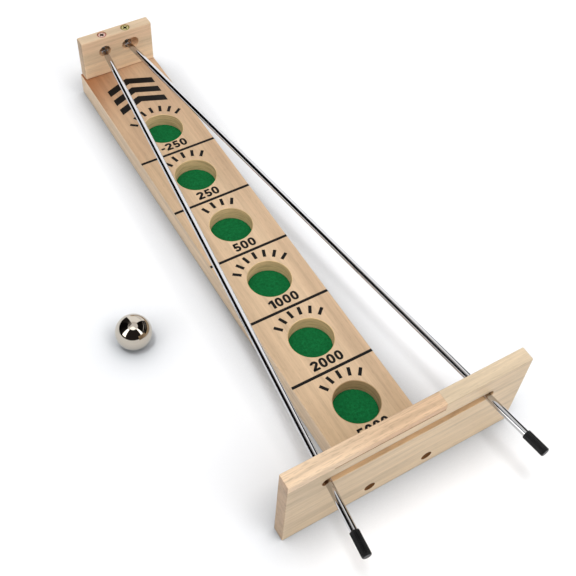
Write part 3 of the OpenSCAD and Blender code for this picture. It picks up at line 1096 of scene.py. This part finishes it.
class BALLGAME_OT_stage(bpy.types.Operator):
    """Lays the floor, hangs the lights and the cards that polished metal reflects, and sets the camera"""

    bl_idname = "ballgame.stage"
    bl_label = "Stage, lights and camera"

    def execute(self, context):
        scene = context.scene
        s = scene.ballgame_stage
        floor = lay_paper(s.floor)

        # The room: white where it is seen, dimmer as a light
        world = bpy.data.worlds.new("studio")
        scene.world = world
        world.use_nodes = True
        t = world.node_tree
        back = t.nodes["Background"]
        back.inputs["Color"].default_value = (1, 1, 1, 1)
        t.links.new(ranged(t, looked_at(t, use_clamp=True), 0, 1, s.sky, 1), back.inputs["Strength"])

        # The main lamp hangs overhead, a little to the left: small for the paper and wide for the game, so
        # that the rods' shadows show on the paper and fade on the wood
        lit = {}
        for state in ("INCLUDE", "EXCLUDE"):
            lit[state] = bpy.data.collections.new("paper_" + state.lower())
            lit[state].objects.link(floor)
            lit[state].collection_objects[0].light_linking.link_state = state
        hang_lamp("overhead_paper", -122, 77.5, 11, s.overhead, lit["INCLUDE"])
        hang_lamp("overhead_game", -122, 75, 42, s.overhead, lit["EXCLUDE"])
        # One lamp at the left and a tall one at the front in three parts, the last of which only fills
        hang_lamp("left_light", -96, 37, 30, s.left)
        hang_lamp("front_light_low", 143, 15, 8, s.front * 0.2)
        hang_lamp("front_light_key", 158, 45, 9, s.front * 0.12)
        hang_lamp("front_light_fill", 150, 60, 34, s.front * 0.63, shadow=False)

        # Cards round the table: dark walls, two bright strips and a bright ceiling
        for card in (
            ("dark_wall_left", -62, -25, -2, 60, "#100E0E", 1),
            ("grey_wall_left", -85, -62, 0, 60, "#201E1E", 1),
            ("dark_wall_back", -25, 2, -2, 48, "#282625", 1),
            ("grey_wall_back", -25, 2, 48, 61, "#524E4B", 1),
            ("grey_ceiling_left", -62, 2, 61, 74, "#86817E", 1),
            ("bright_ceiling_back", 2, 75, 58, 74, "#FFFCF8", 0.95),
            ("bright_wall_back", 2, 65, 0, 58, "#FFFFFF", 1.35),
            ("dark_wall_right", 65, 141, 0, 62, "#1C1917", 1),
            ("bright_strip_left", -107, -85, 11, 60, "#FFFFFF", 3.2),
            ("low_wall_left", -107, -85, 0, 11, "#777472", 1),
            ("dark_wall_front", -199, -107, 2, 66, "#2E2928", 1),
            ("bright_strip_front", 141, 156, 14, 64, "#FFFFFF", 3.2),
            ("low_wall_front", 141, 161, 0, 14, "#7A6450", 1),
            ("gap_wall_front", 156, 161, 14, 66, "#555050", 1),
            ("bright_edge_front", -205, -90, 66, 88, "#FFFFFF", 2.2),
        ):
            hang_card(*card)

        # The photograph's viewing angle, and its focal length and width in pixels
        azimuth, elevation, roll = 34.328, -53.418, math.radians(4.677)
        focal, photo_width = 937.56, 576
        place = Vector((-215.08, -392.93, 551.61)) * MM
        ahead, right = towards(azimuth, elevation), towards(azimuth + 90, 0)
        up = right.cross(ahead)
        x = right * math.cos(roll) + up * math.sin(roll)
        y = -right * math.sin(roll) + up * math.cos(roll)
        camera = bpy.data.cameras.new("camera")
        camera.sensor_width = 36
        camera.lens = camera.sensor_width * focal / photo_width
        holder = put_in_scene("camera", camera)
        holder.matrix_world = Matrix.Translation(place) @ Matrix((x, y, -ahead)).transposed().to_4x4()
        scene.camera = holder
        scene.view_settings.view_transform = "Standard"
        return {"FINISHED"}


# Add-on


GROUPS = {
    "ballgame_wood": BallGameWood, "ballgame_print": BallGamePrint, "ballgame_metal": BallGameMetal,
    "ballgame_soft": BallGameSoft, "ballgame_stage": BallGameStage,
}
OPERATORS = (
    BALLGAME_OT_board, BALLGAME_OT_front_plate, BALLGAME_OT_back_block, BALLGAME_OT_felt, BALLGAME_OT_print,
    BALLGAME_OT_rods, BALLGAME_OT_grips, BALLGAME_OT_screws, BALLGAME_OT_ball, BALLGAME_OT_stage,
)


class BALLGAME_PT_panel(bpy.types.Panel):
    """Lists the steps that build the game, with the sizes and colours they use"""

    bl_idname = "BALLGAME_PT_panel"
    bl_label = "Rolling Ball Game"
    bl_space_type = "VIEW_3D"
    bl_region_type = "UI"
    bl_category = "Ball Game"

    def draw(self, context):
        for step in OPERATORS:
            self.layout.operator(step.bl_idname)
        for key, group in GROUPS.items():
            box = self.layout.box()
            for prop in group.__annotations__:
                box.prop(getattr(context.scene, key), prop)


def register():
    for c in (*GROUPS.values(), *OPERATORS, BALLGAME_PT_panel):
        bpy.utils.register_class(c)
    for key, group in GROUPS.items():
        setattr(bpy.types.Scene, key, PointerProperty(type=group))


def unregister():
    for key in GROUPS:
        delattr(bpy.types.Scene, key)
    for c in (BALLGAME_PT_panel, *OPERATORS[::-1], *list(GROUPS.values())[::-1]):
        bpy.utils.unregister_class(c)


def main():
    register()
    for step in OPERATORS:
        family, name = step.bl_idname.split(".")
        getattr(getattr(bpy.ops, family), name)()


if __name__ == "__main__":
    main()
